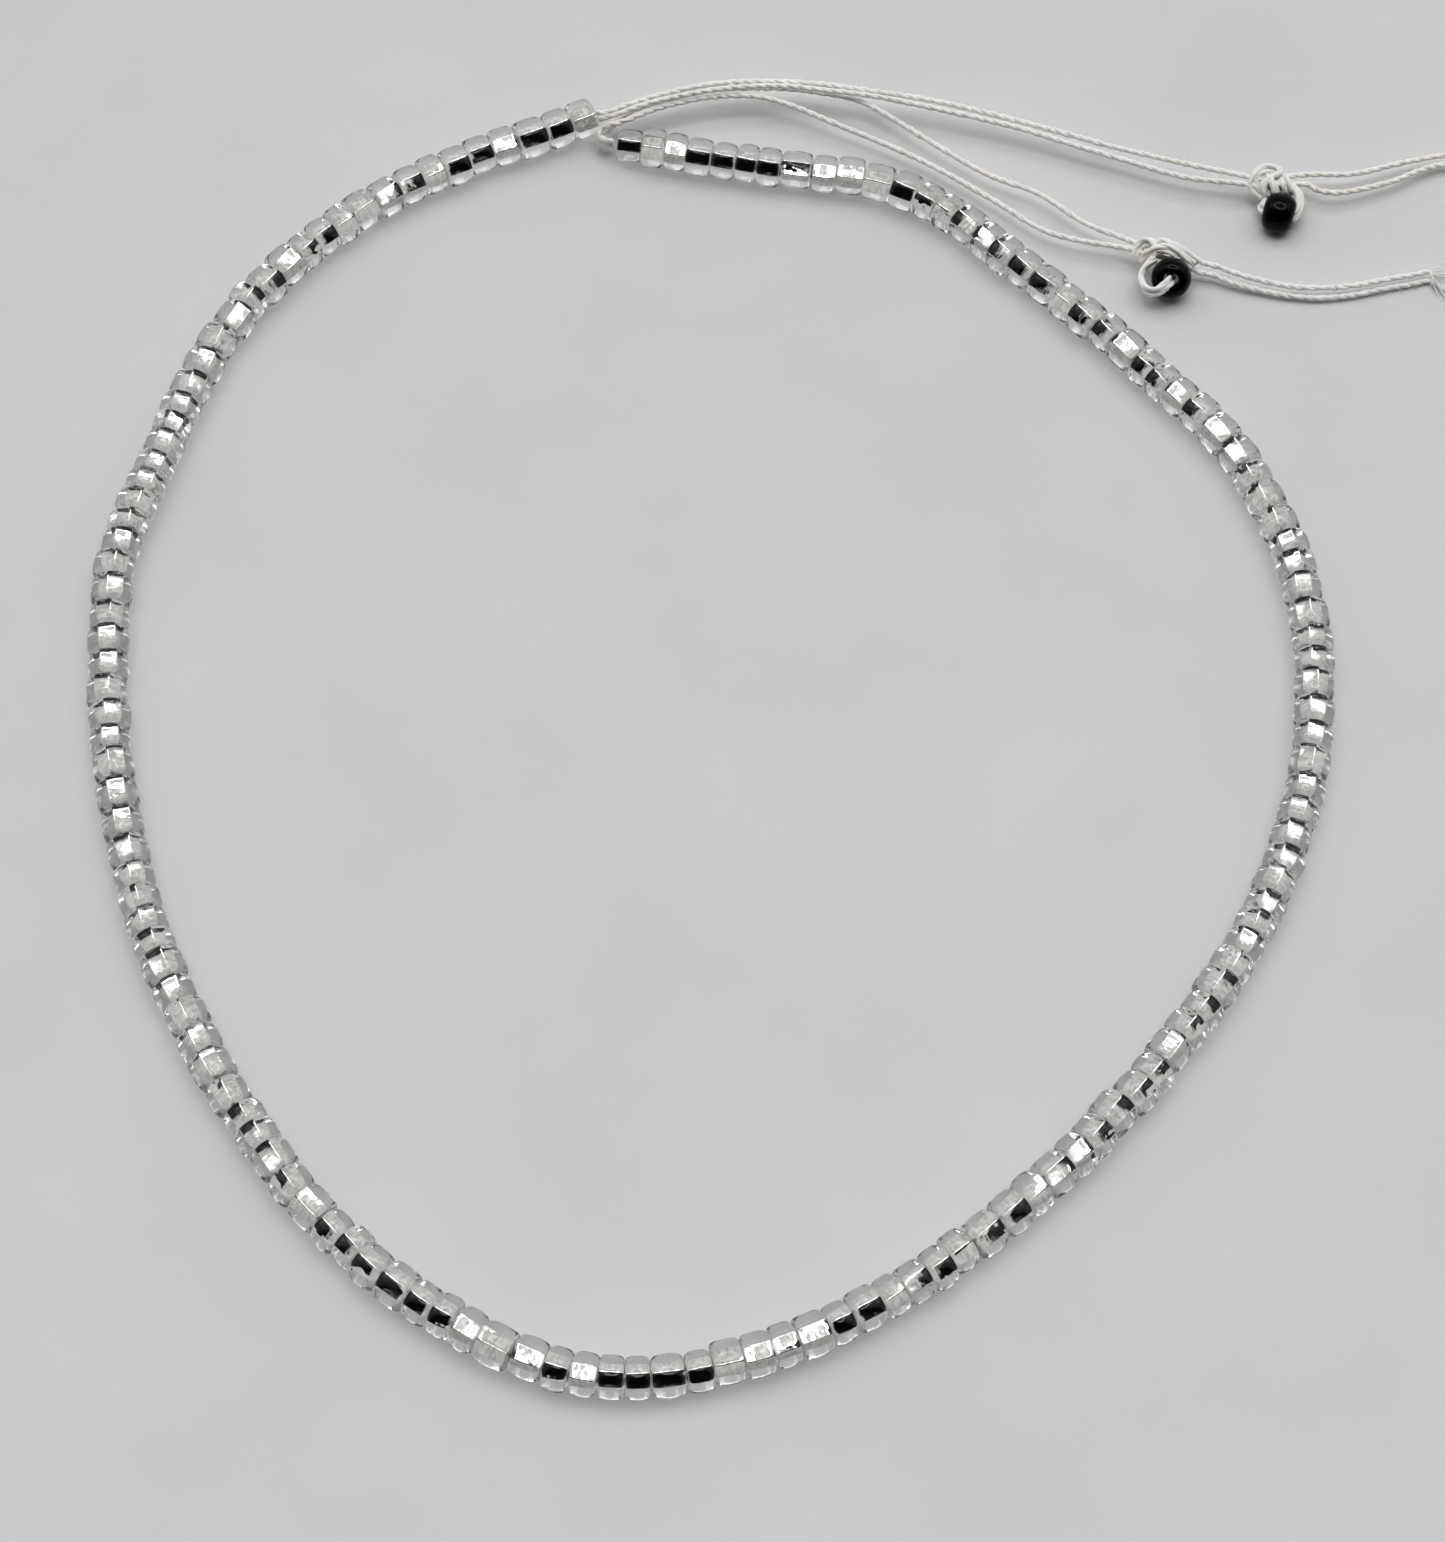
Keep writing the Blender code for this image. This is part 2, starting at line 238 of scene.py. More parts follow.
# What lies between tie and tail, inside the knot
knotCrossings = {
    "upperThreadA": [(35.9, 42.3, 1.8), (37.0, 42.25, 1.95), (38.1, 42.6, 1.8)],
    "upperThreadB": [(35.8, 41.8, 1.6), (37.0, 41.8, 1.6), (38.1, 42.0, 1.6)],
    "lowerThreadA": [(28.2, 36.45, 1.7), (29.4, 36.05, 1.9), (30.7, 35.7, 1.7)],
    "lowerThreadB": [(28.2, 35.95, 1.5), (29.3, 35.65, 1.6), (30.6, 35.3, 1.5)],
}
threadReplaces = {
    "upperThreadA": ("upper_tie_a", "upper_tail_a"),
    "upperThreadB": ("upper_tie_b", "upper_tail_b"),
    "lowerThreadA": ("lower_tie_a", "lower_tail_a"),
    "lowerThreadB": ("lower_tie_b", "lower_tail_b"),
}


def cottonMaterial():
    # bleached cotton, two plies twisted: soft white with faint warm and cool patches, no gloss,
    # and a sheen from the loose fibres
    material, tree, shader = newMaterial("bleachedCotton", {
        "Roughness": 0.86, "IOR": 1.47, "Sheen Weight": 0.35, "Sheen Roughness": 0.5,
        "Specular IOR Level": 0.25,
    })
    place = addNode(tree, "ShaderNodeTexCoord", {}, {})
    patches = addNode(tree, "ShaderNodeTexNoise", {}, {
        "Vector": (place, "Object"), "Scale": 1 / (2.6 * mm), "Detail": 2.0})
    tint = addNode(tree, "ShaderNodeValToRGB", {}, {"Fac": (patches, "Fac")})
    setRamp(tint, [(0.35, linearColour("efefec")), (0.5, linearColour("f6f6f4")),
                   (0.65, linearColour("f3efe9"))])
    fibres = addNode(tree, "ShaderNodeTexNoise", {}, {
        "Vector": (place, "Object"), "Scale": 1 / (0.09 * mm), "Detail": 3.0,
        "Roughness": 0.65})
    dip = addNode(tree, "ShaderNodeMapRange", {}, {
        "Value": (fibres, "Fac"), "From Min": 0.3, "From Max": 0.7, "To Min": 0.86,
        "To Max": 1.0})
    shade = addNode(tree, "ShaderNodeMix", {"data_type": "RGBA", "blend_type": "MULTIPLY"}, {
        0: 1.0, 6: (tint, "Color"), 7: (dip, "Result")})
    tree.links.new(shade.outputs[2], shader.inputs["Base Color"])
    fuzz = addNode(tree, "ShaderNodeBump", {}, {
        "Height": (fibres, "Fac"), "Distance": 0.03 * mm, "Strength": 0.8})
    tree.links.new(fuzz.outputs["Normal"], shader.inputs["Normal"])
    return material


def carriedSides(line, first=None):
    # a sideways direction for each point of a line, carried along it without twisting
    side = first or directionAt(line, 0).orthogonal()
    sides = []
    for i in range(len(line)):
        along = directionAt(line, i)
        side = (side - side.dot(along) * along).normalized()
        sides.append(side)
    return sides


def besideLine(line, offset, first):
    return [point + side * offset for point, side in zip(line, carriedSides(line, first))]


def twistedPlies(line, phase, plump=1.0, pitch=thread["pitch"]):
    # the middle lines of the two plies that wind, a little unevenly, round a thread's own line
    pliesMade = [[], []]
    run = distancesAlong(line)
    for i, side in enumerate(carriedSides(line)):
        other = directionAt(line, i).cross(side)
        uneven = noise.noise(Vector((run[i] / (1.1 * mm), 5.0 * phase, 0.5)))
        reach = thread["plyOffset"] * mm * plump * (1 + 1.5 * thread["slack"] * uneven)
        turn = phase + 2 * math.pi * run[i] / (pitch * mm) + uneven
        for ply, shift in zip(pliesMade, (0.0, math.pi)):
            spoke = side * math.cos(turn + shift) + other * math.sin(turn + shift)
            ply.append(line[i] + spoke * reach)
    return pliesMade


def strandMesh(name, strands, radius, material, sides=6, taper=None):
    # one mesh of round strands with closed ends, joined
    curve = bpy.data.curves.new(name, "CURVE")
    curve.dimensions = "3D"
    curve.bevel_depth = radius
    curve.bevel_resolution = (sides - 4) // 2
    curve.use_fill_caps = True
    for strand in strands:
        spline = curve.splines.new("POLY")
        spline.points.add(len(strand) - 1)
        for i, point in enumerate(strand):
            spline.points[i].co = (*point, 1.0)
            if taper:
                spline.points[i].radius = taper[i]
    source = bpy.data.objects.new(name + "Source", curve)
    bpy.context.scene.collection.objects.link(source)
    ready = source.evaluated_get(bpy.context.evaluated_depsgraph_get())
    mesh = bpy.data.meshes.new_from_object(ready)
    bpy.data.objects.remove(source, do_unlink=True)
    bpy.data.curves.remove(curve)
    return meshPiece(name, mesh, material)


def meshPiece(name, mesh, material):
    mesh.name = name
    mesh.materials.clear()
    mesh.materials.append(material)
    mesh.shade_smooth()
    obj = bpy.data.objects.new(name, mesh)
    bpy.context.scene.collection.objects.link(obj)
    return obj


def threadLines():
    # each thread from the gap through its knot to the cut end
    lines = {}
    for name in tieRoutes:
        route = tieRoutes[name] + knotCrossings[name] + tailRoutes[name]
        lines[name] = evenLine(smoothLine(inMetres(route)), thread["spacing"] * mm)
    return lines


def makeThreads(cotton, lines):
    pieces = {}
    for number, (name, line) in enumerate(lines.items()):
        plies = twistedPlies(line, 1.3 * number)
        piece = strandMesh(name, plies, thread["plyRadius"] * mm, cotton)
        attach(piece, "root")
        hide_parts(*threadReplaces[name])
        pieces[name] = piece
    return pieces


def randomTurn(chance):
    # a unit vector in any direction
    height = chance.uniform(-1, 1)
    turn = chance.uniform(0, 2 * math.pi)
    level = math.sqrt(1 - height * height)
    return Vector((level * math.cos(turn), level * math.sin(turn), height))


fuzz = {
    "orderSeed": 3,
    "hairsPerMm": 8.0,
    "hairStart": 0.12,      # mm from the thread's middle
    "hairReach": 0.36,      # mm, at most
    "hairRadius": 0.011,    # mm
    "bend": 0.6,            # how far a hair turns aside, as a share of its reach
    "leastHeight": 0.06,    # mm above the table
    "mattedHairs": 120,     # on each lower thread, where it leaves the last bead
    "mattedLength": 2.4,    # mm
    "mattedStart": 0.15,    # mm
    "mattedReach": 0.5,     # mm, at most
    "tuftStrands": 9,       # at each lower cut end
    "tuftStart": 0.09,      # mm
    "tuftReach": (1.1, 2.2),    # mm
    "tuftRadius": 0.045,    # mm
    "tuftTaper": [1.0, 1.0, 0.9, 0.7, 0.3],
}


def looseFibre(start, way, reach, chance):
    # one hair that bends away from the thread and stays above the table
    bend = randomTurn(chance)
    hair = []
    for step in range(5):
        share = step / 4
        point = start + (way * share + bend * fuzz["bend"] * share * share) * reach
        point.z = max(point.z, fuzz["leastHeight"] * mm)
        hair.append(point)
    return hair


def makeFuzz(cotton, lines, knotted):
    # the hairs along the threads and knots, and the untwisted tuft at the lower cut ends
    chance = random.Random(fuzz["orderSeed"])
    hairs = []
    for line in list(lines.values()) + knotted:
        total = distancesAlong(line)[-1]
        count = round(total / mm * fuzz["hairsPerMm"])
        stops = sorted(chance.uniform(0, total) for _ in range(count))
        for point in pointsAt(line, stops):
            way = randomTurn(chance)
            reach = fuzz["hairReach"] * mm * chance.uniform(0.4, 1.0)
            hairs.append(looseFibre(point + way * fuzz["hairStart"] * mm, way, reach, chance))
    # matted fibres where the lower threads come out of the last bead
    step = fuzz["mattedLength"] / fuzz["mattedHairs"] * mm
    for name in ("lowerThreadA", "lowerThreadB"):
        for point in pointsAt(lines[name], [step * (i + 1) for i in range(fuzz["mattedHairs"])]):
            way = randomTurn(chance)
            reach = fuzz["mattedReach"] * mm * chance.uniform(0.4, 1.0)
            hairs.append(looseFibre(point + way * fuzz["mattedStart"] * mm, way, reach, chance))
    loose = strandMesh("looseFibres", hairs, fuzz["hairRadius"] * mm, cotton, sides=4)
    tuft = []
    for name in ("lowerThreadA", "lowerThreadB"):
        end = lines[name][-1]
        for number in range(fuzz["tuftStrands"]):
            spread = Vector((1.0, chance.uniform(-1.3, 0.35), chance.uniform(-0.2, 0.25)))
            reach = chance.uniform(*fuzz["tuftReach"]) * mm
            start = end + randomTurn(chance) * fuzz["tuftStart"] * mm
            tuft.append(looseFibre(start, spread.normalized(), reach, chance))
    frayed = strandMesh("frayedEnd", tuft, fuzz["tuftRadius"] * mm, cotton,
                        taper=fuzz["tuftTaper"])
    for piece in (loose, frayed):
        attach(piece, "root")


# Seed beads: pressed clear glass, so the edges are rounded and no two are quite alike

beads = {
    "diameter": 2.7,        # mm
    "meanLength": 1.79,     # mm along the thread
    "lengthSpread": 0.2,    # share
    "orderSeed": 11,
    "seam": 0.05,           # mm of air between two beads
    "diameterSpread": 0.045,
    "lastWidth": 0.84,      # of the small bead at the gap, as a share
    "shift": 0.11,          # mm to either side of the thread, at most
    "tilt": 3.5,            # degrees, at most
    "sides": 10,
    "boreRadius": 0.31,     # mm, inside the lining
    "liningWidth": 0.74,    # mm across the square lining
    "liningWall": 0.04,
    "liningEdge": 0.04,     # mm, rounding of the lining's edges
    "liningFlare": [(0.3, 1.0), (0.42, 1.025), (0.475, 1.08), (0.5, 1.18)],
    "looksSeed": 5,
    "forms": [(0.8, 0.16), (0.76, 0.12), (0.84, 0.2)],  # how full the corners and middle are
    "threadOffset": 0.13,   # mm from the string's middle to each thread inside the beads
    "threadRadius": 0.12,   # mm, drawn tight
    # bead number, and degrees that one side of its lining leans from straight up to the front
    "turns": {
        0: -12, 1: 52, 2: 46, 5: 47, 11: 50, 14: 52, 17: 55, 46: 55, 49: 52, 53: 50, 55: 49,
        57: 50, 58: 47, 60: 48, 62: -12, 63: 13, 64: 50, 65: 10, 66: 38, 67: 44, 68: 45,
        69: 50, 70: -12, 71: 8, 72: 15, 73: 12, 74: 45, 78: 46, 80: 48, 81: 47, 88: 52,
        90: 53, 113: 56, 114: 55, 119: 52, 120: 50, 122: 50, 123: 51, 125: 48, 126: 47,
        132: 47, 133: -14, 134: 8, 135: 18, 136: 30, 137: 46, 138: 54, 139: 43, 140: 44,
        141: 13, 142: -12, 143: 43,
    },
}

# Route of the bead string in mm, from one end at the gap round to the other
stringRoute = [
    (-9.0, 46.4), (-17.9, 42.1), (-26.0, 36.3), (-32.1, 28.5), (-35.5, 19.2), (-38.0, 9.6),
    (-37.7, -0.4), (-35.9, -10.1), (-32.8, -19.5), (-28.1, -28.3), (-22.2, -36.2),
    (-14.5, -42.5), (-5.4, -46.1), (4.2, -44.4), (12.8, -39.7), (20.4, -33.2), (26.9, -25.8),
    (32.5, -17.5), (36.4, -8.4), (38.1, 1.4), (37.4, 11.3), (33.5, 20.4), (27.0, 27.9),
    (19.9, 34.8), (12.1, 40.9), (2.5, 42.6), (-7.3, 44.2),
]


def clearGlassMaterial():
    # clear pressed soda glass: glossy and faintly wavy from the mould, with tumbled ends that
    # are a little frosted. Lamp light goes through to the table, bright in the middle of a
    # bead and dim at its rims.
    material, tree, shader = newMaterial("clearPressedGlass", {
        "Base Color": (1.0, 1.0, 1.0, 1.0), "IOR": 1.51,
        "Transmission Weight": 1.0,
    })
    place = addNode(tree, "ShaderNodeAttribute", {"attribute_name": "beadPlace"}, {})
    swell = addNode(tree, "ShaderNodeTexNoise", {}, {
        "Vector": (place, "Vector"), "Scale": 1 / 0.8, "Detail": 1.0})
    wave = addNode(tree, "ShaderNodeBump", {}, {
        "Height": (swell, "Fac"), "Distance": 0.06 * mm, "Strength": 0.6})
    tree.links.new(wave.outputs["Normal"], shader.inputs["Normal"])
    nearEnd = addNode(tree, "ShaderNodeAttribute", {"attribute_name": "beadEnd"}, {})
    frost = addNode(tree, "ShaderNodeMapRange", {}, {
        "Value": (nearEnd, "Fac"), "From Min": 0.92, "From Max": 0.99, "To Max": 0.3})
    tree.links.new(frost.outputs["Result"], shader.inputs["Roughness"])
    ray = addNode(tree, "ShaderNodeLightPath", {}, {})
    rim = addNode(tree, "ShaderNodeLayerWeight", {}, {"Blend": 0.5})
    dimming = addNode(tree, "ShaderNodeValToRGB", {}, {"Fac": (rim, "Facing")})
    setRamp(dimming, [(0.0, linearColour("ffffff")), (0.45, linearColour("f8f8f8")),
                      (0.8, linearColour("aeaeae")), (1.0, linearColour("6c6c6c"))])
    clear = addNode(tree, "ShaderNodeBsdfTransparent", {}, {"Color": (dimming, "Color")})
    mix = addNode(tree, "ShaderNodeMixShader", {}, {
        0: (ray, "Is Shadow Ray"), 1: (shader, "BSDF"), 2: (clear, "BSDF")})
    tree.links.new(mix.outputs[0], tree.nodes["Material Output"].inputs["Surface"])
    return material


def silverLiningMaterial():
    # silver deposited in the pressed square bore: a bright mirror, wavy, with chatter marks
    # across it
    material, tree, shader = newMaterial("silveredBore", {
        "Metallic": 1.0, "Roughness": 0.05,
    })
    place = addNode(tree, "ShaderNodeAttribute", {"attribute_name": "beadPlace"}, {})
    swell = addNode(tree, "ShaderNodeTexNoise", {}, {
        "Vector": (place, "Vector"), "Scale": 1 / 0.55, "Detail": 1.0})
    wave = addNode(tree, "ShaderNodeBump", {}, {
        "Height": (swell, "Fac"), "Distance": 0.045 * mm, "Strength": 1.0})
    bands = addNode(tree, "ShaderNodeMapping", {}, {
        "Vector": (place, "Vector"), "Scale": (1.5, 1.5, 6.0)})
    marks = addNode(tree, "ShaderNodeTexNoise", {}, {
        "Vector": (bands, "Vector"), "Scale": 1.0, "Detail": 2.0, "Roughness": 0.6})
    chatter = addNode(tree, "ShaderNodeBump", {}, {
        "Height": (marks, "Fac"), "Distance": 0.011 * mm, "Strength": 0.8,
        "Normal": (wave, "Normal")})
    tree.links.new(chatter.outputs["Normal"], shader.inputs["Normal"])
    tone = addNode(tree, "ShaderNodeValToRGB", {}, {"Fac": (marks, "Fac")})
    setRamp(tone, [(0.3, linearColour("d9d9d8")), (0.6, linearColour("f7f6f3"))])
    tree.links.new(tone.outputs["Color"], shader.inputs["Base Color"])
    return material


def beadLengths(total):
    chance = random.Random(beads["orderSeed"])
    count = round(total / (beads["meanLength"] * mm))
    spread = beads["lengthSpread"]
    uneven = [1 + spread * chance.uniform(-1, 1) for _ in range(count)]
    return [total * share / sum(uneven) for share in uneven]


def glassShape(shoulder, belly):
    # one bead of unit length and real width in mm, to be smoothed: a closed outline is spun
    # round the bore. shoulder and belly say how full its corners and its middle are.
    shrink = 0.95           # smoothing draws a ring of 10 sides in by this much
    outer = beads["diameter"] / 2 / shrink
    bore = beads["boreRadius"] / shrink
    outline = [(outer, belly), (outer * (0.78 + 0.22 * shoulder), 0.4),
               (outer * shoulder, 0.5), (bore * 1.5, 0.5), (bore, 0.38)]
    outline += [(x, -z) for x, z in reversed(outline)]
    bm = bmesh.new()
    ring = [bm.verts.new((x, 0.0, z)) for x, z in outline]
    edges = [bm.edges.new((a, b)) for a, b in zip(ring, ring[1:] + ring[:1])]
    bmesh.ops.spin(bm, geom=ring + edges, cent=(0, 0, 0), axis=(0, 0, 1), dvec=(0, 0, 0),
                   angle=2 * math.pi, steps=beads["sides"], use_merge=True)
    bmesh.ops.remove_doubles(bm, verts=bm.verts, dist=0.0001)
    bmesh.ops.recalc_face_normals(bm, faces=bm.faces)
    mesh = bpy.data.meshes.new("glassShape")
    bm.to_mesh(mesh)
    bm.free()
    return mesh


def liningShape():
    # a square tube of unit length with rounded edges, flared mouths and a thin wall
    bm = bmesh.new()
    half = beads["liningWidth"] / 2
    flare = beads["liningFlare"]
    stops = [(-z, wide) for z, wide in reversed(flare)] + flare
    made = bmesh.ops.create_circle(bm, cap_ends=False, segments=4, radius=half * math.sqrt(2),
                                   matrix=Matrix.Rotation(math.pi / 4, 4, "Z"))
    bmesh.ops.bevel(bm, geom=made["verts"], offset=beads["liningEdge"], segments=2,
                    profile=0.5, affect="VERTICES", material=-1)
    rim, level, girth = bm.edges[:], 0.0, 1.0
    for z, wide in stops:
        if z > stops[0][0]:
            grown = bmesh.ops.extrude_edge_only(bm, edges=rim)["geom"]
            rim = [e for e in grown if isinstance(e, bmesh.types.BMEdge)]
        ring = list({v for e in rim for v in e.verts})
        bmesh.ops.translate(bm, verts=ring, vec=(0, 0, z - level))
        bmesh.ops.scale(bm, verts=ring, vec=(wide / girth, wide / girth, 1.0))
        level, girth = z, wide
    bmesh.ops.recalc_face_normals(bm, faces=bm.faces)
    bmesh.ops.solidify(bm, geom=bm.faces[:], thickness=beads["liningWall"])
    mesh = bpy.data.meshes.new("liningShape")
    bm.to_mesh(mesh)
    bm.free()
    return mesh


def beadPlaces():
    # for each bead: its middle, direction, length and width on the string, all in metres
    line = smoothLine([Vector((x, y, 0.0)) * mm for x, y in stringRoute])
    total = distancesAlong(line)[-1]
    chance = random.Random(beads["looksSeed"])
    places, start = [], 0.0
    lengths = beadLengths(total)
    for number, length in enumerate(lengths):
        first, last = pointsAt(line, [start, start + length])
        width = 1 + beads["diameterSpread"] * chance.uniform(-1, 0.6)
        if number == len(lengths) - 1:
            width = beads["lastWidth"]
        lean = math.radians(beads["tilt"])
        direction = (last - first).normalized()
        direction.rotate(Matrix.Rotation(lean * chance.uniform(-1, 1), 3, "Z"))
        side = direction.cross(Vector((0, 0, 1)))
        direction.rotate(Matrix.Rotation(lean * 0.4 * chance.uniform(-1, 1), 3, side))
        middle = (first + last) / 2 + side * beads["shift"] * mm * chance.uniform(-1, 1)
        middle.z = (beads["diameter"] / 2 * width + 0.01) * mm
        places.append((middle, direction, length - beads["seam"] * mm, width))
        start += length
    return places


def joinedBeads(name, places, shapes, material, chance, turns):
    # all the copies of a shape in one mesh. beadPlace keeps each point's place on its own
    # bead, and beadEnd is 1 at the bead's ends and 0 at its middle.
    bm = bmesh.new()
    own = bm.verts.layers.float_vector.new("beadPlace")
    end = bm.verts.layers.float.new("beadEnd")
    for number, (middle, direction, length, width) in enumerate(places):
        shape = chance.choice(shapes)
        turn = chance.uniform(0, 2 * math.pi)
        if number in turns:
            turn = math.copysign(1, direction.x) * math.radians(turns[number])
        upright = direction.to_track_quat("Z", "Y").to_matrix().to_4x4()
        size = Matrix.Diagonal((width * mm, width * mm, length, 1.0))
        move = (Matrix.Translation(middle) @ upright @ Matrix.Rotation(turn, 4, "Z") @ size)
        already = len(bm.verts)
        bm.from_mesh(shape)
        bm.verts.ensure_lookup_table()
        added = bm.verts[already:]
        for vert in added:
            x, y, z = vert.co
            vert[own] = (x + 7.3 * number, y, z * length / mm)
            vert[end] = min(abs(z) * 2, 1.0)
        bmesh.ops.transform(bm, matrix=move, verts=added)
    mesh = bpy.data.meshes.new(name)
    bm.to_mesh(mesh)
    bm.free()
    return meshPiece(name, mesh, material)


def makeBeads(cotton):
    places = beadPlaces()
    chance = random.Random(beads["looksSeed"] + 1)
    shapes = [glassShape(shoulder, belly) for shoulder, belly in beads["forms"]]
    glass = joinedBeads("seedBeadGlass", places, shapes, clearGlassMaterial(), chance, {})
    smooth = glass.modifiers.new("smooth", "SUBSURF")
    smooth.levels = 1
    smooth.render_levels = 1
    lining = joinedBeads("seedBeadLining", places, [liningShape()], silverLiningMaterial(),
                         chance, beads["turns"])
    flat = lining.modifiers.new("flat sides", "WEIGHTED_NORMAL")
    flat.weight = 90
    lining.visible_shadow = False       # the light that a round bead gathers fills its shadow
    middles = [place[0] for place in places]
    core = [besideLine(middles, side * beads["threadOffset"] * mm, Vector((0, 0, 1)))
            for side in (-1, 1)]
    inner = strandMesh("threadInBeads", core, beads["threadRadius"] * mm, cotton)
    for piece, slot in ((glass, "seed_bead_glass"), (lining, "seed_bead_glass"),
                        (inner, "cotton_thread")):
        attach(piece, "root")
    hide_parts("bead_string")
    print("beads:", len(places))


# Stopper beads: opaque black glass, fire polished, so deep black with small sharp highlights

stoppers = {
    "diameter": 2.7,        # mm
    "length": 2.1,          # mm
    "rounding": 0.5,        # mm
    "bore": 0.95,           # mm, with the thread pressed against its wall
    "sides": 20,
}
stopperPlaces = {
    "upperStopper": {"node": "upper_stopper_bead", "heading": -16.0, "rise": 0.0},
    "lowerStopper": {"node": "lower_stopper_bead", "heading": -100.0, "rise": 40.0},
}
# Doubled thread in mm, from the knot through the bead's bore and back to the knot
loopRoutes = {
    "upperLoop": {
        "node": "upper_bead_loop", "side": (0.0, -0.51, 0.86),
        "route": [
            (36.7, 41.6, 1.5), (36.55, 41.25, 1.3), (36.38, 40.9, 1.15),
            (36.22, 40.57, 1.1), (36.2, 40.3, 1.22), (36.36, 40.1, 1.33),
            (36.63, 39.99, 1.35), (37.3, 39.8, 1.35),
            (37.97, 39.61, 1.35), (38.32, 39.56, 1.37), (38.52, 39.75, 1.42),
            (38.64, 40.1, 1.52), (38.7, 40.55, 1.68), (38.62, 40.98, 1.86),
            (38.36, 41.33, 2.04), (37.95, 41.6, 2.14), (37.5, 41.8, 2.1),
            (37.1, 42.0, 1.9),
        ],
    },
    "lowerLoop": {
        "node": "lower_bead_loop", "side": (-0.13, -0.75, 0.64),
        "route": [
            (29.6, 35.9, 1.15), (29.85, 35.6, 0.9), (30.0, 35.25, 0.75), (30.03, 34.85, 0.82),
            (29.98, 34.45, 1.12), (29.9, 34.0, 1.5), (29.82, 33.55, 1.89), (29.7, 33.17, 2.14),
            (29.4, 32.78, 2.2), (28.9, 32.52, 1.98), (28.37, 32.72, 1.68), (27.99, 33.25, 1.5),
            (27.86, 33.9, 1.5), (28.02, 34.5, 1.6), (28.4, 34.95, 1.75), (28.85, 35.25, 1.85),
        ],
    },
}


def blackGlassMaterial():
    # opaque black glass, fire polished: deep black and glossy, with the faintest orange peel
    material, tree, shader = newMaterial("polishedBlackGlass", {
        "Base Color": linearColour("020202"), "IOR": 1.5, "Specular IOR Level": 0.16,
    })
    place = addNode(tree, "ShaderNodeTexCoord", {}, {})
    peel = addNode(tree, "ShaderNodeTexNoise", {}, {
        "Vector": (place, "Object"), "Scale": 1 / (0.7 * mm), "Detail": 1.0})
    gloss = addNode(tree, "ShaderNodeMapRange", {}, {
        "Value": (peel, "Fac"), "To Min": 0.03, "To Max": 0.1})
    tree.links.new(gloss.outputs["Result"], shader.inputs["Roughness"])
    ripple = addNode(tree, "ShaderNodeBump", {}, {
        "Height": (peel, "Fac"), "Distance": 0.02 * mm, "Strength": 0.3})
    tree.links.new(ripple.outputs["Normal"], shader.inputs["Normal"])
    return material


def boreAxis(place):
    heading = math.radians(place["heading"])
    rise = math.radians(place["rise"])
    level = math.cos(rise)
    return Vector((level * math.cos(heading), level * math.sin(heading), math.sin(rise)))


def stopperMiddle(name):
    low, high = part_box(stopperPlaces[name]["node"])
    return (low + high) / 2


def makeStoppers():
    material = blackGlassMaterial()
    half = stoppers["length"] / 2
    shrink = 0.984          # smoothing draws a ring of 20 sides in by this much
    outer = stoppers["diameter"] / 2 / shrink
    bore, soft = stoppers["bore"] / 2, stoppers["rounding"]
    # slightly barrel-shaped between its rounded ends
    outline = [(outer, 0.14), (outer - 0.08 * soft, half - 1.15 * soft),
               (outer - 0.32 * soft, half - 0.58 * soft),
               (outer - 0.8 * soft, half - 0.15 * soft), (outer - 1.35 * soft, half),
               (bore + 0.12, half), (bore, half - 0.15)]
    outline += [(x, -z) for x, z in reversed(outline)]
    pieces = {}
    for name, place in stopperPlaces.items():
        bm = bmesh.new()
        ring = [bm.verts.new((x, 0.0, z)) for x, z in outline]
        edges = [bm.edges.new((a, b)) for a, b in zip(ring, ring[1:] + ring[:1])]
        bmesh.ops.spin(bm, geom=ring + edges, cent=(0, 0, 0), axis=(0, 0, 1),
                       dvec=(0, 0, 0), angle=2 * math.pi, steps=stoppers["sides"],
                       use_merge=True)
        bmesh.ops.remove_doubles(bm, verts=bm.verts, dist=0.0001)
        bmesh.ops.recalc_face_normals(bm, faces=bm.faces)
        turn = boreAxis(place).to_track_quat("Z", "Y").to_matrix().to_4x4()
        size = Matrix.Diagonal((mm, mm, mm, 1.0))
        bmesh.ops.transform(bm, verts=bm.verts,
                            matrix=Matrix.Translation(stopperMiddle(name)) @ turn @ size)
        mesh = bpy.data.meshes.new(name)
        bm.to_mesh(mesh)
        bm.free()
        piece = meshPiece(name, mesh, material)
        smooth = piece.modifiers.new("smooth", "SUBSURF")
        smooth.levels = 1
        smooth.render_levels = 1
        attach(piece, "root")
        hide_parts(place["node"])
        pieces[name] = piece
    return pieces


doubled = {
    "gap": 0.34,            # mm between the two threads' middles
    "plump": 1.12,          # a slack doubled thread is thicker, as a share
    "pitch": 3.6,           # mm, because it has untwisted
}


def doubledStrand(route, phase, first=None):
    # two threads side by side, each of two plies
    line = evenLine(smoothLine(inMetres(route)), thread["spacing"] * mm)
    first = first or directionAt(line, 0).cross(towardsCamera())
    plies = []
    for side in (-0.5, 0.5):
        beside = besideLine(line, side * doubled["gap"] * mm, first)
        plies += twistedPlies(beside, phase + 2.1 * side, doubled["plump"],
                              doubled["pitch"])
    return plies


def makeLoops(cotton):
    pieces = {}
    for name, loop in loopRoutes.items():
        plies = doubledStrand(loop["route"], 0.6, Vector(loop["side"]))
        piece = strandMesh(name, plies, thread["plyRadius"] * doubled["plump"] * mm, cotton)
        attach(piece, "root")
        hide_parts(loop["node"])
        pieces[name] = piece
    return pieces


# Knots: the doubled thread wound round the tie's two threads, in mm

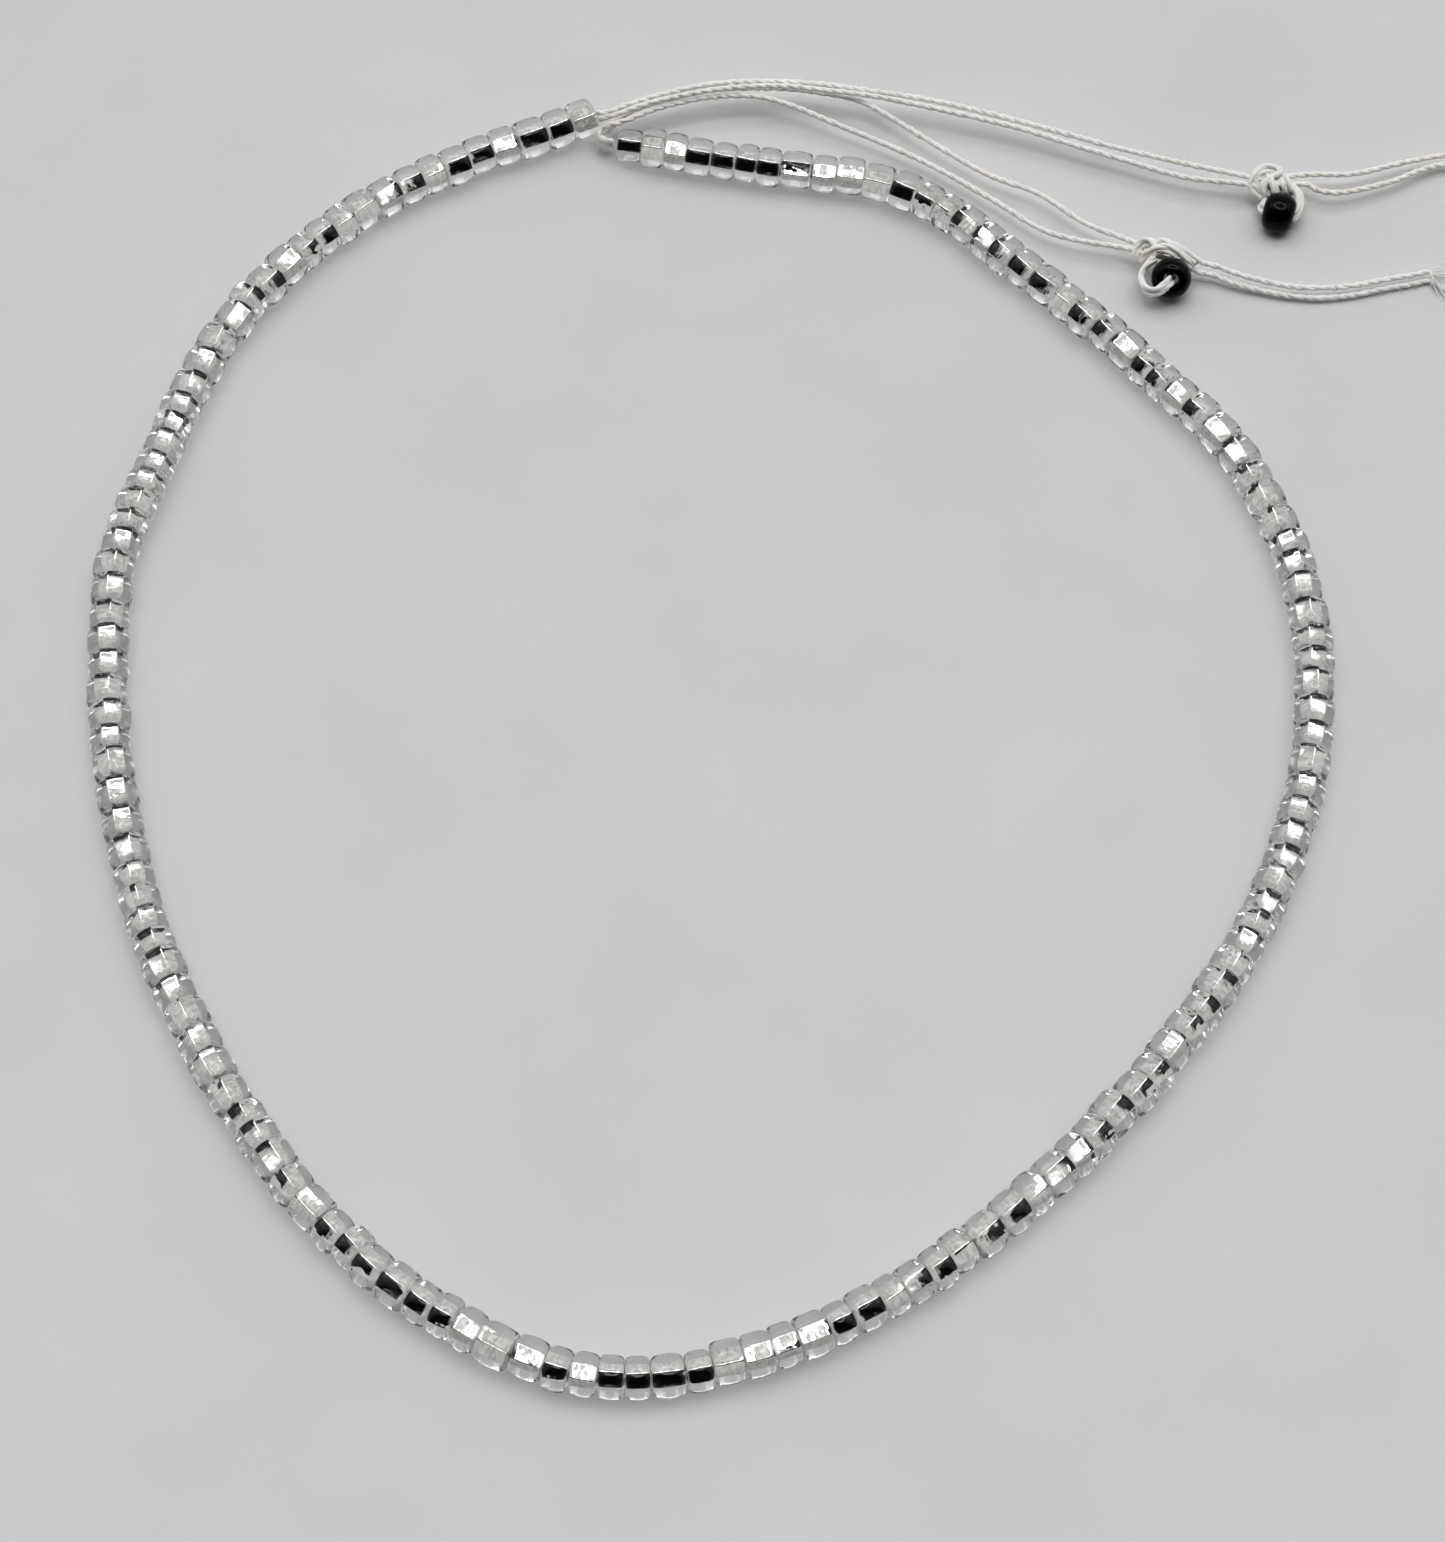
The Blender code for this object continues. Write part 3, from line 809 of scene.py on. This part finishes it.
knots = {
    "upperKnot": {
        "node": "upper_knot",
        "strands": [
            [(36.3, 41.3, 1.3), (35.85, 41.5, 1.35), (35.6, 41.9, 1.65), (35.72, 42.35, 2.0),
             (36.12, 42.7, 2.17), (36.6, 42.85, 2.25), (37.03, 42.8, 2.25),
             (37.25, 42.6, 2.25), (37.08, 42.35, 2.22), (36.7, 42.1, 2.22),
             (36.35, 41.8, 2.15), (36.2, 41.5, 1.9), (36.4, 41.25, 1.5), (36.7, 41.5, 1.2)],
            [(36.7, 42.5, 1.5), (36.75, 42.15, 2.1), (36.85, 41.6, 2.25), (37.05, 41.2, 1.9),
             (37.35, 41.3, 1.3), (37.5, 41.9, 1.2), (37.55, 42.4, 1.6), (37.6, 42.1, 2.2),
             (37.75, 41.55, 2.3), (38.0, 41.2, 1.9), (38.1, 41.4, 1.4)],
        ],
    },
    "lowerKnot": {
        "node": "lower_knot",
        "strands": [
            [(27.6, 35.9, 1.3), (27.75, 36.3, 1.6), (28.1, 36.45, 2.05), (28.5, 36.3, 2.35),
             (28.75, 35.9, 2.35), (28.7, 35.5, 2.0), (28.5, 35.2, 1.6)],
            [(28.1, 35.25, 1.4), (28.35, 35.45, 2.0), (28.9, 35.62, 2.42), (29.5, 35.6, 2.52),
             (30.1, 35.4, 2.4), (30.7, 35.15, 2.05), (31.3, 35.0, 1.6)],
            [(28.6, 36.5, 1.4), (28.9, 36.45, 1.95), (29.4, 36.2, 2.35), (30.0, 35.92, 2.42),
             (30.6, 35.65, 2.2), (31.2, 35.45, 1.85), (31.7, 35.35, 1.55)],
        ],
    },
}


def makeKnots(cotton):
    pieces = {}
    for name, knot in knots.items():
        plies = []
        for number, strand in enumerate(knot["strands"]):
            plies += doubledStrand(strand, 1.7 * number)
        piece = strandMesh(name, plies, thread["plyRadius"] * doubled["plump"] * mm, cotton)
        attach(piece, "root")
        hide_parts(knot["node"])
        pieces[name] = piece
    return pieces


def knottedLines():
    # the loops' and the knots' strands, for their loose fibres
    routes = [loop["route"] for loop in loopRoutes.values()]
    for knot in knots.values():
        routes += knot["strands"] * 2
    return [evenLine(smoothLine(inMetres(route)), thread["spacing"] * mm) for route in routes]


# Floor and light

studio = {
    "floorSide": 3.0,           # m
    "lampHeight": 1.1,          # m, a small soft lamp straight overhead
    "lampWidth": 0.45,          # m
    "lampPower": 1.8,           # W
    "room": 0.46,               # brightness of the room around
    "dark": 0.004,              # brightness of its dark side
    "darkTilt": 90.0,           # degrees from overhead to the dark side's middle, at the front
    "darkEdge": (70.0, 79.0),   # degrees from its middle where it ends
    "ringTilt": -5.0,           # degrees from overhead to the ring lamp's middle
    "ringEdges": (14.0, 24.0),  # degrees from its middle to its inner and outer edge
    "ring": 2.7,                # its brightness
    "ringMiddle": 0.05,         # brightness inside the ring, as a share of the ring's
    "boxWay": (0.6, 0.27, 0.753),   # where the right soft box hangs, the left one opposite
    "boxEdge": (11.0, 22.0),    # degrees from its middle where it fades
    "box": 0.72,                # brightness over the room's
}


def makeFloor():
    # smooth matt card: one pale grey with a hardly visible mottle
    bm = bmesh.new()
    bmesh.ops.create_grid(bm, x_segments=2, y_segments=2, size=studio["floorSide"] / 2)
    mesh = bpy.data.meshes.new("paleCard")
    bm.to_mesh(mesh)
    bm.free()
    material, tree, shader = newMaterial("mattCard", {
        "Roughness": 0.9, "Specular IOR Level": 0.15,
    })
    place = addNode(tree, "ShaderNodeTexCoord", {}, {})
    mottle = addNode(tree, "ShaderNodeTexNoise", {}, {
        "Vector": (place, "Object"), "Scale": 1 / (14 * mm), "Detail": 2.0})
    tone = addNode(tree, "ShaderNodeValToRGB", {}, {"Fac": (mottle, "Fac")})
    setRamp(tone, [(0.3, linearColour("cbcbcb")), (0.7, linearColour("cecece"))])
    tree.links.new(tone.outputs["Color"], shader.inputs["Base Color"])
    floor = meshPiece("paleCard", mesh, material)


def makeLight():
    # it lights the table and isn't seen in the glass, where the ring lamp shows alone
    data = bpy.data.lights.new("softLamp", "AREA")
    data.shape = "DISK"
    data.size = studio["lampWidth"]
    data.energy = studio["lampPower"]
    lamp = bpy.data.objects.new("softLamp", data)
    lamp.location = (0.0, 0.0, studio["lampHeight"])
    lamp.visible_glossy = False
    lamp.visible_transmission = False
    bpy.context.scene.collection.objects.link(lamp)


def fromOverhead(degrees):
    # a direction tilted from straight overhead to the front
    tilt = math.radians(degrees)
    return Vector((0.0, -math.sin(tilt), math.cos(tilt)))


def makeWorld():
    # a pale room with a ring lamp overhead, a soft box to each side and a dark front
    world = bpy.data.worlds.new("paleStudio")
    bpy.context.scene.world = world
    world.use_nodes = True
    tree = world.node_tree
    sky = addNode(tree, "ShaderNodeTexCoord", {}, {})
    darkStart, darkEnd = studio["darkEdge"]
    inner, outer = studio["ringEdges"]
    boxStart, boxEnd = studio["boxEdge"]
    across, back, up = studio["boxWay"]
    total = None
    for way, stops, strength in (
            (fromOverhead(studio["darkTilt"]), [(darkStart, 0.0), (darkEnd, 1.0)],
             studio["room"]),
            (fromOverhead(studio["ringTilt"]),
             [(inner - 1, studio["ringMiddle"]), (inner + 1, 1.0), (outer - 1, 1.0),
              (outer + 1, 0.0)],
             studio["ring"]),
            (Vector((across, back, up)), [(boxStart, 1.0), (boxEnd, 0.0)], studio["box"]),
            (Vector((-across, back, up)), [(boxStart, 1.0), (boxEnd, 0.0)], studio["box"])):
        # brightness by the angle from a direction, with half a turn along the whole ramp
        facing = addNode(tree, "ShaderNodeVectorMath", {"operation": "DOT_PRODUCT"}, {
            0: (sky, "Generated"), 1: way})
        angle = addNode(tree, "ShaderNodeMath", {"operation": "ARCCOSINE"}, {
            0: (facing, "Value")})
        share = addNode(tree, "ShaderNodeMath", {"operation": "DIVIDE"}, {
            0: (angle, "Value"), 1: math.pi})
        level = addNode(tree, "ShaderNodeValToRGB", {}, {"Fac": (share, "Value")})
        setRamp(level, [(place / 180, (bright, bright, bright, 1.0))
                        for place, bright in stops])
        total = addNode(tree, "ShaderNodeMath", {"operation": "MULTIPLY_ADD"}, {
            0: (level, "Color"), 1: strength, 2: (total, "Value") if total else studio["dark"]})
    tree.links.new(total.outputs["Value"], tree.nodes["Background"].inputs["Strength"])
    tree.nodes["Background"].inputs["Color"].default_value = (1.0, 1.0, 1.0, 1.0)
    bpy.context.scene.view_settings.view_transform = "Standard"
    bpy.context.scene.view_settings.look = "Medium High Contrast"


makeCamera()
print("camera placed")
cotton = cottonMaterial()
lines = threadLines()
threads = makeThreads(cotton, lines)
makeFuzz(cotton, lines, knottedLines())
print("threads laid")
makeBeads(cotton)
stopperPieces = makeStoppers()
loopPieces = makeLoops(cotton)
knotPieces = makeKnots(cotton)
print("knots tied")
makeFloor()
makeLight()
makeWorld()
print("studio lit")
